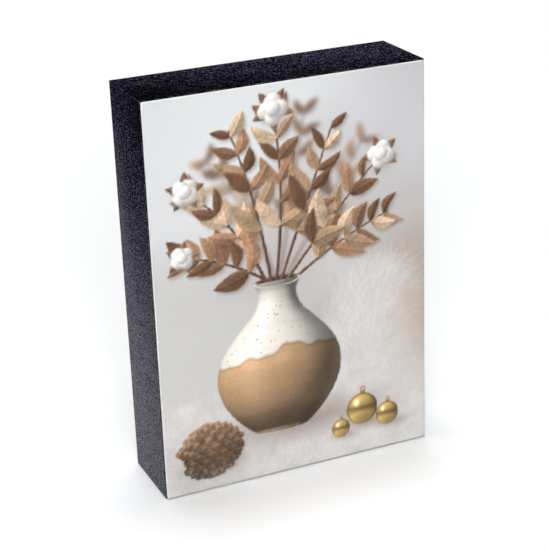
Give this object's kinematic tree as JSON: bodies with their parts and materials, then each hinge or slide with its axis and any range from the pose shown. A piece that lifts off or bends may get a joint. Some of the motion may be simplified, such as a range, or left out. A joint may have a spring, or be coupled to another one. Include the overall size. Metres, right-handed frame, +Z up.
{
  "type": "photo block",
  "caption": "Thick upright photo block: a print on white card on a laminated MDF core with pebbled black edges, keyhole hangers in its back.",
  "frame": {"origin": "middle of the footprint, on the surface that the block stands on", "axes": "+Z up as the block stands, -Y towards the viewer of the picture, +X to that viewer's right"},
  "size_m": [0.127, 0.04, 0.178],
  "materials": {
    "clear_laminate": "clear satin film over the print",
    "print_paper": "printed photo paper, pale grey picture",
    "white_card": "white-core card",
    "adhesive": "dried glue and adhesive film",
    "mdf": "bare medium-density fibreboard",
    "black_paper": "matt black backing paper",
    "black_tape": "fine pebbled, low sheen",
    "zinc_steel": "bright zinc plate",
    "screw_steel": "bright zinc plate",
    "bumper_rubber": "matt soft rubber"
  },
  "bodies": {
    "root": {"print_laminate": "clear_laminate", "photo_print": "print_paper", "print_card": "white_card", "mounting_film": "adhesive", "front_board": "mdf", "board_glue": "adhesive", "rear_board": "mdf", "back_sheet": "black_paper", "left_edge_tape": "black_tape", "right_edge_tape": "black_tape", "top_edge_tape": "black_tape", "bottom_edge_tape": "black_tape", "top_hanger_plate": "zinc_steel", "top_hanger_outer_screw": "screw_steel", "top_hanger_inner_screw": "screw_steel", "side_hanger_plate": "zinc_steel", "side_hanger_outer_screw": "screw_steel", "side_hanger_inner_screw": "screw_steel", "top_left_bumper": "bumper_rubber", "top_right_bumper": "bumper_rubber", "bottom_left_bumper": "bumper_rubber", "bottom_right_bumper": "bumper_rubber"}
  },
  "joints": []
}
